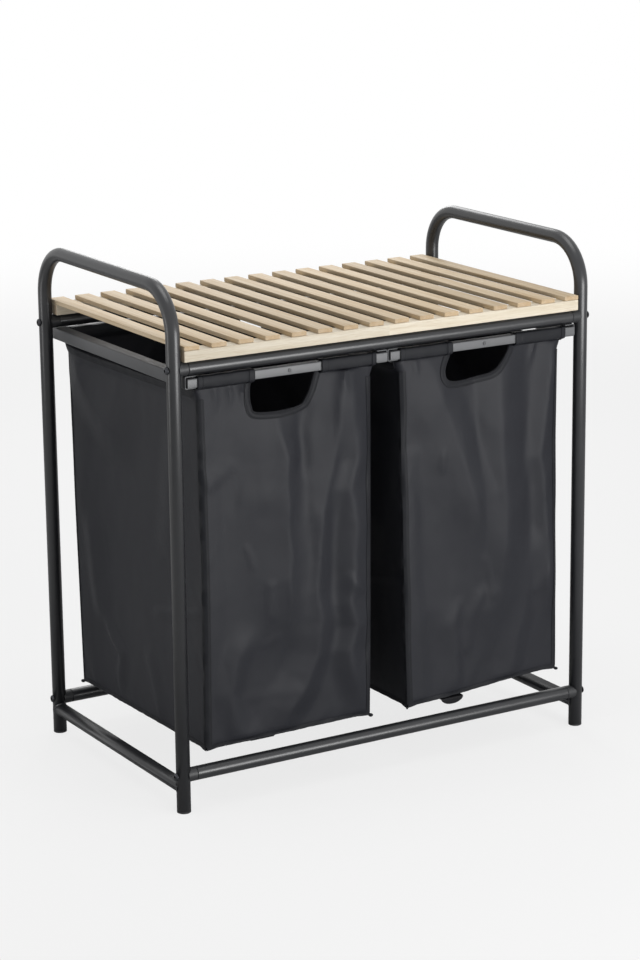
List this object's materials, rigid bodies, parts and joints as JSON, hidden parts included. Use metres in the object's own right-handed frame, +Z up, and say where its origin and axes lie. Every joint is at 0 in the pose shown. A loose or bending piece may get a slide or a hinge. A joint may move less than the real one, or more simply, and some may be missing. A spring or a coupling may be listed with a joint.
{
  "type": "laundry hamper with two bins",
  "caption": "Free-standing laundry hamper: cloth bags on sliding bar frames pull out from a bent steel tube frame under a slatted wooden shelf.",
  "frame": {"origin": "on the floor, under the middle of the footprint", "axes": "+Z up, -Y the front that the bins pull out of, +X to the right seen from the front"},
  "size_m": [0.6658, 0.3954, 0.7125],
  "materials": {
    "frame_tube": "fine matt powder coat",
    "sheet_steel": "smooth satin powder coat",
    "end_plug": "moulded, fine grain",
    "bolt": "black zinc",
    "wood": "bare, fine straight grain",
    "bag_cloth": "coated woven polyester",
    "webbing": "woven tape"
  },
  "bodies": {
    "frame": {"side_frame_left": "frame_tube", "foot_cap_front_left": "end_plug", "foot_cap_back_left": "end_plug", "side_frame_right": "frame_tube", "foot_cap_front_right": "end_plug", "foot_cap_back_right": "end_plug", "rail_upper_front": "frame_tube", "plug_upper_front_left": "end_plug", "bolt_upper_front_left": "bolt", "plug_upper_front_right": "end_plug", "bolt_upper_front_right": "bolt", "rail_upper_back": "frame_tube", "plug_upper_back_left": "end_plug", "bolt_upper_back_left": "bolt", "plug_upper_back_right": "end_plug", "bolt_upper_back_right": "bolt", "rail_lower_front": "frame_tube", "plug_lower_front_left": "end_plug", "bolt_lower_front_left": "bolt", "plug_lower_front_right": "end_plug", "bolt_lower_front_right": "bolt", "rail_lower_back": "frame_tube", "plug_lower_back_left": "end_plug", "bolt_lower_back_left": "bolt", "plug_lower_back_right": "end_plug", "bolt_lower_back_right": "bolt", "slide_channel_left_outer": "sheet_steel", "slide_channel_left_inner": "sheet_steel", "slide_channel_right_inner": "sheet_steel", "slide_channel_right_outer": "sheet_steel", "shelf_batten_front": "wood", "shelf_batten_back": "wood", "shelf_slat_01": "wood", "shelf_slat_02": "wood", "shelf_slat_03": "wood", "shelf_slat_04": "wood", "shelf_slat_05": "wood", "shelf_slat_06": "wood", "shelf_slat_07": "wood", "shelf_slat_08": "wood", "shelf_slat_09": "wood", "shelf_slat_10": "wood", "shelf_slat_11": "wood", "shelf_slat_12": "wood", "shelf_slat_13": "wood", "shelf_slat_14": "wood", "shelf_slat_15": "wood", "shelf_slat_16": "wood"},
    "left_bin": {"left_bin_frame_left": "sheet_steel", "left_bin_frame_right": "sheet_steel", "left_bin_frame_screw": "bolt", "left_bin_bag": "bag_cloth", "left_bin_pull_tab": "webbing"},
    "right_bin": {"right_bin_frame_left": "sheet_steel", "right_bin_frame_right": "sheet_steel", "right_bin_frame_screw": "bolt", "right_bin_bag": "bag_cloth", "right_bin_pull_tab": "webbing"}
  },
  "joints": [
    {"name": "left_bin_slide", "type": "slide", "parent": "frame", "child": "left_bin", "axis": [0, -1, 0], "range_m": [0, 0.25]},
    {"name": "right_bin_slide", "type": "slide", "parent": "frame", "child": "right_bin", "axis": [0, -1, 0], "range_m": [0, 0.25]}
  ]
}
